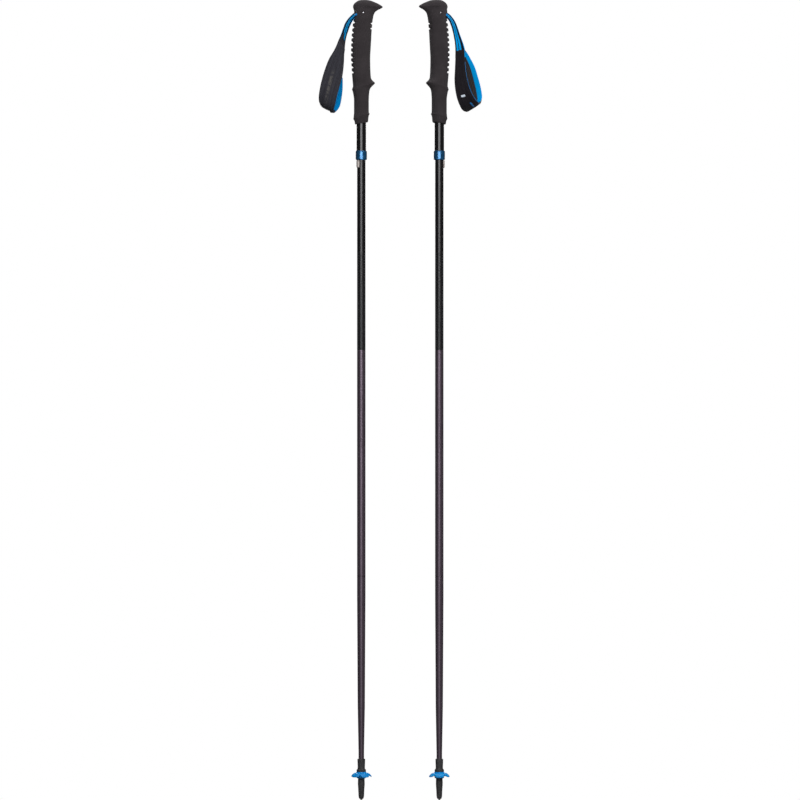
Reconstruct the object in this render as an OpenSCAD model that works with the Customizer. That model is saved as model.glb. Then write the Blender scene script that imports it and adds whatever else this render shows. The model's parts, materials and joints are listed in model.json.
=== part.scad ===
// A pair of folding trekking poles, upright and fully deployed, side by side.
// Each pole has a foam-gripped handle that telescopes over its upper shaft, and two fold
// joints held shut by a tension cord inside the shafts. Millimetres. Heights are measured
// above the tips, and the origin is on the left pole's axis at the height where the hand
// holds it. Each pole has its own frame: x towards its grip's beak, z up its axis.

/* [Pair] */
// Distance between the two pole axes
pole_spacing = 117; // [105:1:150]
// Turn of the left pole about its own axis, in degrees
left_turn = 8.5; // [0:0.5:20]
// Turn of the right pole about its own axis, past facing the left one, in degrees
right_turn = 20; // [0:0.5:40]
// Height of the point where the left hand holds its grip
hold_height = 1100; // [1050:1:1150]

/* [Heights] */
// Top of the grip, which is the length of the pole
grip_top = 1200; // [1195:1:1230]
// Lower edge of the collar at the end of the handle tube
collar_bottom = 960; // [950:1:975]
// Upper fold joint
fold_a = 675; // [660:1:690]
// Lower fold joint
fold_b = 335.5; // [328:0.5:345]
// Upper edge of the flexible tip
sleeve_top = 61.8; // [58:0.2:64]

/* [Tubes] */
// Outer radius of the handle tube
tube_r = 7.15; // [7.1:0.05:7.4]
// Wall of the handle tube
tube_wall = 0.53; // [0.45:0.01:0.55]
// Outer radius of the three shafts
shaft_r = 6.3; // [6.2:0.05:6.35]
// Wall of the shafts
shaft_wall = 0.85; // [0.8:0.05:0.9]
// Outer radius of the lower shaft where it enters the tip
shaft_end_r = 4.15; // [4:0.05:4.2]
// How far the upper shaft slides up into the handle
telescope_travel = 150; // [120:1:150]

/* [Collar and button] */
// Outer radius of the collar
collar_r = 8.45; // [8.3:0.05:9]
// Height of the collar
collar_h = 13.7; // [12:0.1:15]
// Width of the release button
button_w = 5; // [4:0.1:5]
// Height of the release button
button_h = 11.4; // [9:0.1:12]
// Radius that the button's face stands out to
button_r = 8.4; // [8:0.1:8.8]
// Turn of the left pole's button from its strap side, in degrees
left_button_turn = 33.5; // [0:0.5:45]
// Turn of the right pole's button from its strap side, in degrees
right_button_turn = 0; // [0:0.5:45]

/* [Grip] */
// Notches down the palm side of the grip
palm_notches = 11; // [6:1:11]
// Distance from one palm notch to the next
notch_pitch = 7.48; // [7:0.02:7.5]
// Depth of a notch
notch_depth = 2.6; // [1:0.1:3]
// Radius of the pin that holds the strap
pin_r = 1.5; // [1:0.1:1.6]

/* [Strap] */
// Width of the strap's webbing
webbing_w = 16; // [12:0.5:16.5]
// Radius of the hand loop where it turns at the bottom
loop_r = 21; // [20:0.5:22]
// Thickness of the wrist pad's shell
pad_t = 3.4; // [2:0.1:3.4]
// Thickness of the wrist pad's lining
lining_t = 1; // [0.6:0.1:1]

/* [Fold joints] */
// Distance from a shaft's axis to the axis that it folds about
fold_offset = 11; // [11:0.1:12]
// Bore of a ferrule
ferrule_bore_r = 5; // [4.9:0.02:5]
// Height of a nose above its joint
nose_h = 9; // [7:0.5:9]
// Radius of the tension cord
cord_r = 1.4; // [1:0.1:1.4]

/* [Tip] */
// Radius of the tip's core, which carries the basket
core_r = 5.05; // [5:0.01:5.1]
// Radius of the basket
basket_r = 15.7; // [14:0.1:15.8]
// Lobes round the basket's edge
basket_lobes = 5; // [4:1:8]
// Radius of the straight stretch that takes a rubber foot
foot_r = 4.2; // [4:0.05:4.3]
// Length of that stretch
foot_h = 8; // [6:0.5:8]

/* [Hidden] */
SIDES = ["left", "right"];
PIECES = ["grip", "grip_core", "upper_tube", "collar", "guide_bush", "strap_pin", "strap_anchor",
    "strap_wedge", "strap_webbing", "wrist_pad", "pad_lining", "release_button", "button_spring",
    "upper_shaft", "shaft_plug", "upper_cord", "cord_anchor", "ferrule_a", "middle_shaft", "nose_a",
    "middle_cord", "ferrule_b", "lower_shaft", "nose_b", "lower_cord", "cord_stop", "tip_sleeve",
    "carbide_tip", "basket"];
$fn = 64;

fit = 0.02;          // between pieces that are glued or pressed together
running = 0.06;      // radial clearance between pieces that turn or slide
apart = 0.1;         // between the faces of two shafts at a fold joint

tube_bore_r = tube_r - tube_wall;
shaft_bore_r = shaft_r - shaft_wall;
shaft_top = collar_bottom + 46;
plug_flange_h = 4;
stop_gap = 2;        // left above the plug when the shaft is all the way in
tube_top = grip_top - 30;
lip_h = 1;           // lip of the collar, below the tube's end
tube_in_collar = 6;  // height above the collar's lower edge where the tube ends
seat_r = tube_r + 0.45;
pin_h = grip_top - 19.5;
pin_x = 1.6;
button_mid = collar_bottom - button_h / 2 - 0.3;
spring_t = 0.4;
spring_x = 2.7;
anchor_top = button_mid - 28.5;
anchor_h = 14;
ferrule_h = 40;
ferrule_flange_h = 0.8;
nose_stem_h = 15;
cord_stop_h = 210;
slot_low = grip_top - 25;
slot_high = grip_top - 15;
slot_half_w = 9;
slot_end = 5.5;      // how far the slot reaches past the pole's axis
slab_t = 2.8;
slab_mid = grip_top - 22.2;
slab_out = -10.2;    // where the webbing leaves the head
finger_floor = 14;   // floor of the two notches under the beak
through = 60;        // more than any piece's width
loop_mid = grip_top - 147;
loop_apex = 72;
basket_low = 32.9;
hub_high = 42.3;
hub_r = 7.6;
carbide_r = 1.5;
carbide_h = 8;
shaft_end = 38;
ring_points = 24;
ring_power = 2.3;

// Grip sections from the top down: depth below the top, reach to the front (beak side),
// reach to the back (palm side) and half the width
GRIP_SECTIONS = [
    [0, 14, 4, 7], [0.8, 18, 7.5, 9.5], [2, 21.5, 9.5, 11], [4.5, 26.5, 11.3, 12.4],
    [7.5, 30.3, 12.2, 13.1], [10, 31.9, 12.4, 13.4], [13, 29.5, 11.9, 13.6], [17.2, 21.4, 10.6, 13.5],
    [21.4, 19, 10.4, 13.2], [28.6, 17.3, 11.3, 12.8], [34, 16.6, 12.3, 12.6], [42, 16, 13.3, 12.4],
    [50, 15.3, 14.1, 12.3], [60, 14.8, 14.9, 12.3], [75, 13.9, 15.4, 12.3], [88, 13.3, 15.4, 12.2],
    [98, 13.4, 14.8, 12.1], [110.4, 13.9, 14, 12], [117, 14.5, 13.4, 12], [121, 17, 13.1, 12],
    [124.7, 20.6, 12.8, 12.1], [129, 17, 12.4, 12.1], [134, 12.9, 13.9, 12], [140.5, 11.7, 12.1, 11.4],
    [150, 11.2, 10.9, 11], [165, 11.2, 10.9, 11], [171.6, 12.4, 11.2, 11.6], [176.5, 10.8, 11.85, 11.4],
    [181.2, 10.4, 9.8, 10.6], [185, 9.8, 9.2, 9.6]];
BACK_REACH = [for (s = GRIP_SECTIONS) [s[0], s[2]]];
FIRST_PALM_NOTCH = 33.9;
FINGER_NOTCHES = [35.4, 43];

// Outer profile of the lower shaft: height and radius
TAPER = [[fold_b - apart, shaft_r], [305, shaft_r], [140, 5.4], [70, shaft_end_r],
    [shaft_end, shaft_end_r]];

// Outline of each hanging strap, seen from the front: distance out from the pole's axis,
// and depth below the top of the grip. The webbing is the narrow stretch at the top.
WEBBING = [
    [[13.6, 19.5], [16.5, 25], [24, 36.3], [28.8, 49.5], [36.4, 66.9], [41, 76], [41, 90],
        [26.5, 90], [25.1, 75], [24, 63], [20.7, 49.5], [16, 35.4], [13.2, 30.5], [12.6, 26]],
    [[13.4, 19.5], [20.3, 27.8], [27.9, 42], [34, 58], [38.4, 74.6], [39, 90], [26, 90],
        [24.6, 72.8], [22.7, 57], [18.9, 38.3], [13.6, 29], [12.6, 25]]];
PAD = [
    [[41, 75.5], [48.3, 88.1], [55.5, 107.4], [60.2, 126], [63.6, 142.2], [63.9, 150.3],
        [61.4, 158.4], [53.3, 162], [46.5, 167.7], [41, 168.6], [34, 164.6], [30.9, 152.7],
        [29.1, 134.1], [28.5, 117.3], [27.5, 105], [26, 90], [25.2, 75.5]],
    [[39.5, 75.5], [46.9, 88.1], [54.5, 103.1], [62.4, 134.1], [64.4, 147.8], [60.9, 153.6],
        [56.9, 155.6], [48.2, 162.8], [42.6, 166.1], [36.9, 167.4], [33.3, 163.4], [25.5, 144.6],
        [22.4, 121.1], [23.6, 90], [24.4, 75.5]]];

// ---- Placing -------------------------------------------------------------------------

// The axis of a pole: 0 is the left one, 1 the right one
module at_pole(i) {
    translate([i * pole_spacing, 0, -hold_height]) children();
}

// A pole's own frame, with its beak along x
module in_pole(i) {
    at_pole(i) rotate([0, 0, i == 0 ? left_turn : 180 + right_turn]) children();
}

// The direction that a pole's button faces, along x
module at_button(i) {
    in_pole(i) rotate([0, 0, 180 + (i == 0 ? left_button_turn : right_button_turn)])
        translate([0, 0, button_mid]) children();
}

// A strap's frame: x is out from the pole, away from the other pole
module at_strap(i) {
    at_pole(i) mirror([1 - i, 0, 0]) children();
}

// ---- Building blocks -----------------------------------------------------------------

module ring(low, high, outer_r, inner_r) {
    translate([0, 0, low]) difference() {
        cylinder(h = high - low, r = outer_r);
        translate([0, 0, -1]) cylinder(h = high - low + 2, r = inner_r);
    }
}

// A turned piece: points are [height, radius]
module turned(points) {
    rotate_extrude() polygon([for (p = points) [p[1], p[0]]]);
}

// An outline of [x, height] points, given thickness across
module across(thickness) {
    rotate([90, 0, 0]) linear_extrude(thickness, center = true) children();
}

// An outline of [out, depth below the grip's top] points, as [out, height]
function hung(points) = [for (p = points) [p[0], grip_top - p[1]]];

// A circle drawn out to a point above it
module teardrop(r, apex) {
    rise = r * r / apex;
    half = sqrt(r * r - rise * rise);
    circle(r);
    polygon([[half, rise], [0, apex], [-half, rise], [0, 0]]);
}

function rounded(c, power) = sign(c) * pow(abs(c), 2 / power);

function grip_ring(s) = let (mid = (s[1] - s[2]) / 2, reach = (s[1] + s[2]) / 2)
    [for (k = [0:ring_points - 1]) let (a = 360 * k / ring_points)
        [mid + reach * rounded(cos(a), ring_power), s[3] * rounded(sin(a), ring_power),
            grip_top - s[0]]];

// The smooth outside of the grip, lofted through its sections
module grip_form() {
    n = ring_points;
    last = len(GRIP_SECTIONS) - 1;
    points = [for (s = GRIP_SECTIONS) each grip_ring(s)];
    sides = [for (i = [0:last - 1]) for (k = [0:n - 1])
        [i * n + k, i * n + (k + 1) % n, (i + 1) * n + (k + 1) % n, (i + 1) * n + k]];
    top = [[for (k = [n - 1:-1:0]) k]];
    bottom = [[for (k = [0:n - 1]) last * n + k]];
    polyhedron(points, concat(sides, top, bottom));
}

// A groove across the grip: its floor reaches x, and it opens away from the axis
module groove(x, depth_below, way) {
    floor_h = 1.2;
    mouth_h = 8.4;
    reach = way * 10;
    translate([x, 0, grip_top - depth_below]) across(through)
        polygon([[0, floor_h / 2], [0, -floor_h / 2], [reach, -mouth_h / 2], [reach, mouth_h / 2]]);
}

// ---- Handle --------------------------------------------------------------------------

module grip() {
    color("#383435") difference() {
        grip_form();
        translate([0, 0, collar_bottom]) cylinder(h = tube_top - collar_bottom, r = tube_r + fit);
        translate([slot_end - through, -slot_half_w, slot_low])
            cube([through, 2 * slot_half_w, slot_high - slot_low]);
        at_pin() cylinder(h = through, r = pin_r + fit, center = true);
        for (i = [0:palm_notches - 1]) {
            down = FIRST_PALM_NOTCH + i * notch_pitch;
            groove(notch_depth - lookup(down, BACK_REACH), down, -1);
        }
        for (down = FINGER_NOTCHES) groove(finger_floor, down, 1);
    }
}

// Plugs the top of the tube, and stops the shaft at the end of its travel
module grip_core() {
    low = shaft_top + plug_flange_h + telescope_travel + stop_gap;
    color("#202020") ring(low, tube_top, tube_bore_r - fit, 2.5);
}

module upper_tube() {
    color("#17171a") ring(collar_bottom + tube_in_collar, tube_top, tube_r, tube_bore_r);
}

module collar() {
    edge = 1.2;
    top = collar_bottom + collar_h;
    bore_r = tube_r + fit;
    lip_r = shaft_r + 0.4;
    color("#1f66a8") turned([[collar_bottom, lip_r], [collar_bottom, collar_r - edge],
        [collar_bottom + edge, collar_r], [top - edge, collar_r], [top, collar_r - edge], [top, bore_r],
        [collar_bottom + tube_in_collar, bore_r], [collar_bottom + tube_in_collar, seat_r],
        [collar_bottom + lip_h, seat_r], [collar_bottom + lip_h, lip_r]]);
}

// Held in the collar between its lip and the tube's end
module guide_bush() {
    slack = 0.05;
    color("#d8d8d0") ring(collar_bottom + lip_h + slack, collar_bottom + tube_in_collar - slack,
        seat_r - slack, shaft_r + running);
}

// Along the pin that crosses the head
module at_pin() {
    translate([pin_x, 0, pin_h]) rotate([90, 0, 0]) children();
}

module strap_pin() {
    color("#c8c8cc") at_pin() cylinder(h = 25.4, r = pin_r, center = true);
}

// Webbing inside the head, wrapped round the pin
module strap_anchor() {
    wrap_r = pin_r + 1.6;
    color("#0f6fb4") difference() {
        union() {
            at_pin() cylinder(h = webbing_w, r = wrap_r, center = true);
            translate([slab_out, -webbing_w / 2, slab_mid - slab_t / 2])
                cube([pin_x - slab_out, webbing_w, slab_t]);
        }
        at_pin() cylinder(h = through, r = pin_r + fit, center = true);
    }
}

// Wedge that grips the webbing from above
module strap_wedge() {
    low = slab_mid + slab_t / 2 + fit;
    thin_x = -3.2;
    thick_x = slab_out + 0.4;
    color("#2a2a2c") across(webbing_w) polygon([[thick_x, low], [thin_x, low],
        [thin_x, slot_high - 2.5], [thick_x, slot_high - fit]]);
}

// ---- Strap ---------------------------------------------------------------------------

// The hand loop's outline from the side, extruded outwards from the pole's axis
module loop_form(inset) {
    apex_share = 4;      // how much further the apex moves in than the sides do
    translate([0, 0, loop_mid]) rotate([90, 0, 90]) linear_extrude(80)
        teardrop(loop_r - inset, loop_apex - apex_share * inset);
}

// The webbing straddles the top of the hand loop
module strap_webbing(i) {
    color("#0f6fb4") difference() {
        across(webbing_w) polygon(hung(WEBBING[i]));
        loop_form(-fit);
    }
}

// One layer of the hand loop, seen from the side, between two thicknesses in from its outside
module loop_layer(i, outer, inner) {
    intersection() {
        difference() {
            loop_form(outer);
            loop_form(inner);
        }
        across(through) polygon(hung(PAD[i]));
    }
}

module wrist_pad(i) {
    color("#2b282b") loop_layer(i, 0, pad_t);
}

module pad_lining(i) {
    color("#3e3b3d") loop_layer(i, pad_t + fit, pad_t + lining_t);
}

// ---- Release button ------------------------------------------------------------------

module rounded_bar(w, h, r) {
    square([w - 2 * r, h], center = true);
    square([w, h - 2 * r], center = true);
    for (x = [-1, 1], y = [-1, 1]) translate([x * (w / 2 - r), y * (h / 2 - r)]) circle(r);
}

// Along x, standing on the bar's outline
module along_x(from, to) {
    translate([from, 0, 0]) rotate([90, 0, 90]) linear_extrude(to - from) children();
}

// The foot behind the button is wider than its hole and keeps it in the shaft
module release_button() {
    back_x = spring_x + 0.05;
    foot_x = 4.2;
    corner = 1.6;
    color("#8f8b86") {
        intersection() {
            along_x(back_x, collar_r) rounded_bar(button_w, button_h, corner);
            cylinder(h = 2 * button_h, r = button_r, center = true);
        }
        along_x(back_x, foot_x) rounded_bar(button_w + 1.4, button_h + 1.8, corner);
    }
}

// A leaf bent into a U, its bend downwards: one leg behind the button, one on the far wall
module button_spring() {
    leg = 26;
    low = 4 - leg;
    back_x = -5;
    bend_x = (spring_x + back_x) / 2;
    bend_r = (spring_x - back_x) / 2;
    color("#b8bcc0") across(4) difference() {
        union() {
            translate([back_x, low]) square([spring_x - back_x, leg]);
            translate([bend_x, low]) circle(bend_r);
        }
        translate([back_x + spring_t, low]) square([spring_x - back_x - 2 * spring_t, leg + 1]);
        translate([bend_x, low]) circle(bend_r - spring_t);
    }
}

// ---- Shafts --------------------------------------------------------------------------

module upper_shaft(i) {
    turn = 180 + (i == 0 ? left_button_turn : right_button_turn);
    color("#151417") difference() {
        ring(fold_a + ferrule_flange_h, shaft_top, shaft_r, shaft_bore_r);
        translate([0, 0, button_mid]) rotate([0, 0, turn])
            along_x(2, collar_r) rounded_bar(button_w + 2 * apart, button_h + 2 * apart, 1.7);
    }
}

// Sits in the top of the shaft, and its flange runs in the handle tube
module shaft_plug() {
    stem_h = 14;
    bore_r = 3;
    stem_r = shaft_bore_r - fit;
    flange_r = tube_bore_r - running;
    color("#d8d8d0") turned([[shaft_top - stem_h, bore_r], [shaft_top - stem_h, stem_r],
        [shaft_top, stem_r], [shaft_top, flange_r], [shaft_top + plug_flange_h, flange_r],
        [shaft_top + plug_flange_h, bore_r]]);
}

module cord_anchor() {
    color("#9a9ca0") ring(anchor_top - anchor_h, anchor_top, shaft_bore_r - fit, cord_r + fit);
}

module cord(low, high) {
    color("#d9d6cc") translate([0, 0, low]) cylinder(h = high - low, r = cord_r);
}

// Lines the end of the shaft above a joint, and takes the nose of the shaft below it
module ferrule(joint) {
    turned([[joint, ferrule_bore_r], [joint, shaft_r], [joint + ferrule_flange_h, shaft_r],
        [joint + ferrule_flange_h, shaft_bore_r - fit], [joint + ferrule_h, shaft_bore_r - fit],
        [joint + ferrule_h, ferrule_bore_r]]);
}

// The widest that a nose can be at height h and still swing out past the ferrule's rim
function nose_r(h) = sqrt(pow(fold_offset + ferrule_bore_r, 2) - h * h) - fold_offset - 0.12;

module nose(joint) {
    rings = 9;
    turned(concat([[joint - nose_stem_h, cord_r + fit], [joint - nose_stem_h, shaft_bore_r - fit],
        [joint - apart, shaft_bore_r - fit]],
        [for (k = [0:rings]) let (h = nose_h * k / rings) [joint + h, nose_r(h)]],
        [[joint + nose_h, cord_r + fit]]));
}

module middle_shaft() {
    color("#4d3f4d") ring(fold_b + ferrule_flange_h, fold_a - apart, shaft_r, shaft_bore_r);
}

module lower_shaft() {
    n = len(TAPER) - 1;
    color("#4d3f4d") turned(concat(TAPER,
        [for (k = [n:-1:0]) [TAPER[k][0], TAPER[k][1] - shaft_wall]]));
}

module cord_stop() {
    stop_r = 4.8;
    color("#9a9ca0") ring(cord_stop_h, cord_stop_h + 12, stop_r, cord_r + fit);
}

// ---- Tip -----------------------------------------------------------------------------

// Outside from the nozzle up: the foot's seat, the basket's core, a flange and the sleeve.
// Inside from the top down: the shaft's socket, a narrow bore and the tip's seat.
module tip_sleeve() {
    foot_low = 11.5;
    flange_low = hub_high + running;
    flange_r = 7.05;
    socket_r = shaft_end_r + fit;
    bore_r = 2.2;
    color("#343335") turned([[1.8, carbide_r + fit], [1.8, 2.6], [3.4, 3.45], [6, 3.7],
        [9.5, foot_r - 0.15], [foot_low, foot_r], [foot_low + foot_h, foot_r], [24, 4.65],
        [27.5, core_r], [flange_low, core_r], [flange_low, flange_r], [45.8, flange_r], [46.4, 5.4],
        [sleeve_top - 0.8, 5.8], [sleeve_top, 5.4], [sleeve_top, socket_r],
        [shaft_end - fit, socket_r], [shaft_end - fit, 3], [30, bore_r], [carbide_h, bore_r],
        [carbide_h, carbide_r + fit]]);
}

module carbide_tip() {
    top = carbide_h - apart;
    color("#9b9da1") turned([[0, 0], [0, 1.1], [0.5, carbide_r], [top, carbide_r], [top, 0]]);
}

// A hub with a skirt that droops to a lobed edge
module basket() {
    rim_low = basket_low + 1.2;
    rim_h = 1.8;
    edge = 0.6;
    bite_r = 3.6;        // of the bites that part the lobes
    bite_out = 2.2;      // from the basket's edge out to a bite's centre
    bore_r = core_r + running;
    color("#0b78be") intersection() {
        turned([[basket_low, bore_r], [basket_low, hub_r - edge], [rim_low + 1.5, hub_r],
            [rim_low, basket_r], [rim_low + rim_h, basket_r], [rim_low + 4.6, hub_r],
            [hub_high - edge, hub_r], [hub_high, hub_r - edge], [hub_high, bore_r]]);
        translate([0, 0, basket_low - 1]) linear_extrude(hub_high - basket_low + 2) difference() {
            circle(basket_r + 1);
            for (k = [0:basket_lobes - 1]) rotate((k + 0.5) * 360 / basket_lobes)
                translate([basket_r + bite_out, 0]) circle(bite_r);
        }
    }
}

// ---- Nodes ---------------------------------------------------------------------------

module piece(i, name) {
    if (name == "strap_webbing") at_strap(i) strap_webbing(i);
    else if (name == "wrist_pad") at_strap(i) wrist_pad(i);
    else if (name == "pad_lining") at_strap(i) pad_lining(i);
    else if (name == "release_button") at_button(i) release_button();
    else if (name == "button_spring") at_button(i) button_spring();
    else in_pole(i) {
        if (name == "grip") grip();
        if (name == "grip_core") grip_core();
        if (name == "upper_tube") upper_tube();
        if (name == "collar") collar();
        if (name == "guide_bush") guide_bush();
        if (name == "strap_pin") strap_pin();
        if (name == "strap_anchor") strap_anchor();
        if (name == "strap_wedge") strap_wedge();
        if (name == "upper_shaft") upper_shaft(i);
        if (name == "shaft_plug") shaft_plug();
        if (name == "upper_cord") cord(fold_a + nose_h + 0.2, anchor_top - 2);
        if (name == "cord_anchor") cord_anchor();
        if (name == "ferrule_a") color("#202022") ferrule(fold_a);
        if (name == "middle_shaft") middle_shaft();
        if (name == "nose_a") color("#b9bbc0") nose(fold_a);
        if (name == "middle_cord") cord(fold_b + nose_h + 0.2, fold_a + nose_h);
        if (name == "ferrule_b") color("#8d8790") ferrule(fold_b);
        if (name == "lower_shaft") lower_shaft();
        if (name == "nose_b") color("#b9bbc0") nose(fold_b);
        if (name == "lower_cord") cord(cord_stop_h + 2, fold_b + nose_h);
        if (name == "cord_stop") cord_stop();
        if (name == "tip_sleeve") tip_sleeve();
        if (name == "carbide_tip") carbide_tip();
        if (name == "basket") basket();
    }
}

for (i = [0, 1], name = PIECES)
    piece(i, name);
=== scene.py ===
"""A pair of folding trekking poles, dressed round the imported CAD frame.

The modelling functions work in millimetres, with heights above the tips. A pole's own frame has
x towards the beak of its grip and z up its axis. A strap's frame has x out from the pole, away
from the other pole, and depths there are measured down from the top of the grip.
"""

import json
import math

import bmesh
import bpy
import numpy as np
from mathutils import Matrix, Vector


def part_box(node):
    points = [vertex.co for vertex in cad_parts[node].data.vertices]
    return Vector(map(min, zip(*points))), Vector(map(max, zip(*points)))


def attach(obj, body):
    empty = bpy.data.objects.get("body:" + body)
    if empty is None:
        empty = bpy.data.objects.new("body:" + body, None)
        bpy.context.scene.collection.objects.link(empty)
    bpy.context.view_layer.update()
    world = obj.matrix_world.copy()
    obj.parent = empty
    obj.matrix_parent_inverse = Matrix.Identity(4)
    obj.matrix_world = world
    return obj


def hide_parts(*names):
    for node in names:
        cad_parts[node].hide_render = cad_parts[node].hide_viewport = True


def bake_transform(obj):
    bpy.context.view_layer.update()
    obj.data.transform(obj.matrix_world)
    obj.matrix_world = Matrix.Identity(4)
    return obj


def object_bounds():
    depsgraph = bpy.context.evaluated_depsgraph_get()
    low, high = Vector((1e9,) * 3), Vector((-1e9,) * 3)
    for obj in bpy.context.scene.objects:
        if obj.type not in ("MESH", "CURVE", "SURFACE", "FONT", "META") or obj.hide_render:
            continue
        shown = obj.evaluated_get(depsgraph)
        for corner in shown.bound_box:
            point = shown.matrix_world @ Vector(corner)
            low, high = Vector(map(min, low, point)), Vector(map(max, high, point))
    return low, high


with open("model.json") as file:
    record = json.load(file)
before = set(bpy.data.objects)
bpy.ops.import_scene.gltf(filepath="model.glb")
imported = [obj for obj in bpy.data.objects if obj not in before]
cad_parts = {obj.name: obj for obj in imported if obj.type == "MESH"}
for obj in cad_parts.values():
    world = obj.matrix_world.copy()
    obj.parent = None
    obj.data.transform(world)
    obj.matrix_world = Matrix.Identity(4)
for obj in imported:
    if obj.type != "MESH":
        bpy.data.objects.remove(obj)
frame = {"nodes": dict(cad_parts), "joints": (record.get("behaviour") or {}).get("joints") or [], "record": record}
cad_low, cad_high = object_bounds()

MM = 0.001
MOUNTS = {m["name"]: m for m in frame["record"]["mounts"]}
JOINTS = {j["name"]: j for j in frame["joints"]}


# ---- Frames ----


class Pole:
    """One pole: its own frame, its strap's frame, and the names of its CAD nodes and bodies."""

    def __init__(self, side, out, notch_turn):
        self.side = side
        self.out = out
        self.notch_turn = math.radians(notch_turn)
        tip = Vector(MOUNTS[f"{side}_tip_end"]["pos_m"])
        forward = Vector(JOINTS[f"{side}_fold_a"]["axis"])
        across = Vector((-forward.y, forward.x, 0))
        self.tip = tip
        self.turn = math.atan2(forward.y, forward.x)
        self.own = self.matrix(forward, across)
        self.strap = self.matrix(Vector((out, 0, 0)), Vector((0, 1, 0)))
        self.top = self.height("grip")[1]

    def matrix(self, x_axis, y_axis):
        columns = [x_axis * MM, y_axis * MM, Vector((0, 0, MM)), self.tip]
        rows = [[column[k] for column in columns] for k in range(3)]
        return Matrix(rows + [[0, 0, 0, 1]])

    def name(self, piece):
        return f"{self.side}_{piece}"

    def height(self, piece):
        """Lowest and highest point of a CAD node, in millimetres above the tip."""
        low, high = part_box(self.name(piece))
        return (low.z - self.tip.z) / MM, (high.z - self.tip.z) / MM

    def reach(self, piece):
        """Half the width of a round CAD node, in millimetres."""
        low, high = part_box(self.name(piece))
        return (high.y - low.y) / 2 / MM

    def reach_round(self, piece):
        """The furthest that a CAD node reaches from the pole's axis, in millimetres."""
        low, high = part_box(self.name(piece))
        sides = (high.x - self.tip.x, self.tip.x - low.x, high.y - self.tip.y, self.tip.y - low.y)
        return max(sides) / MM

    def local(self, piece):
        """Middle of a CAD node in the pole's own frame."""
        low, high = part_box(self.name(piece))
        return self.own.inverted() @ ((low + high) / 2)

    def button_turn(self):
        """Direction that the release button faces, about z in the pole's own frame."""
        axis = JOINTS[self.name("button_press")]["axis"]
        return math.atan2(axis[1], axis[0]) - self.turn


# ---- Curves ----


def smooth(x):
    x = np.clip(x, 0, 1)
    return x * x * (3 - 2 * x)


def hill(x, width):
    return np.exp(-((x / width) ** 2))


def spread(start, end, step):
    """Evenly spaced values from start to end, about step apart."""
    return np.linspace(start, end, max(2, int(round(abs(end - start) / step)) + 1))


def hermite(t, gap, start, end, start_slope, end_slope):
    """A cubic over one gap, at the share t of it."""
    return ((1 + 2 * t) * (1 - t) ** 2 * start + t * (1 - t) ** 2 * gap * start_slope
            + t * t * (3 - 2 * t) * end + t * t * (t - 1) * gap * end_slope)


def squared(value, power):
    """Pushes a sine or cosine towards 1 and -1, which squares up a ring."""
    return np.sign(value) * np.abs(value) ** power


def through(x, xs, ys):
    """A smooth curve through the points (xs, ys) that never overshoots them, read at x."""
    xs, ys = np.array(xs, float), np.array(ys, float)
    gaps = np.diff(xs)
    slopes = np.diff(ys) / gaps
    tangents = np.zeros(len(xs))
    same_way = slopes[:-1] * slopes[1:] > 0
    weight_a = 2 * gaps[1:] + gaps[:-1]
    weight_b = gaps[1:] + 2 * gaps[:-1]
    first = np.where(same_way, slopes[:-1], 1)
    second = np.where(same_way, slopes[1:], 1)
    mean = (weight_a + weight_b) / (weight_a / first + weight_b / second)
    tangents[1:-1] = np.where(same_way, mean, 0)
    tangents[0], tangents[-1] = slopes[0], slopes[-1]
    k = np.clip(np.searchsorted(xs, x) - 1, 0, len(gaps) - 1)
    t = np.clip((x - xs[k]) / gaps[k], 0, 1)
    return hermite(t, gaps[k], ys[k], ys[k + 1], tangents[k], tangents[k + 1])


def flowing(rows, count):
    """Points along a smooth curve through the rows, evenly spaced by their distance."""
    rows = np.array(rows, float)
    steps = np.linalg.norm(np.diff(rows, axis=0), axis=1)
    at = np.concatenate([[0], np.cumsum(np.sqrt(steps))])
    fine = np.linspace(0, at[-1], 40 * len(rows))
    curve = np.stack([catmull(fine, at, rows[:, k]) for k in range(rows.shape[1])], axis=1)
    lengths = np.linalg.norm(np.diff(curve, axis=0), axis=1)
    distance = np.concatenate([[0], np.cumsum(lengths)])
    even = np.linspace(0, distance[-1], count)
    return np.stack([np.interp(even, distance, curve[:, k]) for k in range(rows.shape[1])], axis=1)


def catmull(x, xs, ys):
    tangents = np.gradient(ys, xs)
    k = np.clip(np.searchsorted(xs, x) - 1, 0, len(xs) - 2)
    gap = xs[k + 1] - xs[k]
    t = (x - xs[k]) / gap
    return hermite(t, gap, ys[k], ys[k + 1], tangents[k], tangents[k + 1])


def rounded(profile, steps=5):
    """A closed profile whose corners of (height, radius, rounding) are rounded by that much."""
    corners = [np.array(p[:2], float) for p in profile]
    rounding = [p[2] if len(p) > 2 else 0 for p in profile]
    points = []
    for k, corner in enumerate(corners):
        if rounding[k] == 0:
            points.append(corner)
            continue
        ends = []
        for other in (corners[k - 1], corners[(k + 1) % len(corners)]):
            away = other - corner
            length = np.linalg.norm(away)
            ends.append(corner + away / length * min(rounding[k], 0.45 * length))
        for t in np.linspace(0, 1, steps + 1):
            points.append((1 - t) ** 2 * ends[0] + 2 * t * (1 - t) * corner + t * t * ends[1])
    return points


# ---- Meshes ----


def added(name, data):
    """A new object in the scene."""
    piece = bpy.data.objects.new(name, data)
    bpy.context.scene.collection.objects.link(piece)
    return piece


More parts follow.
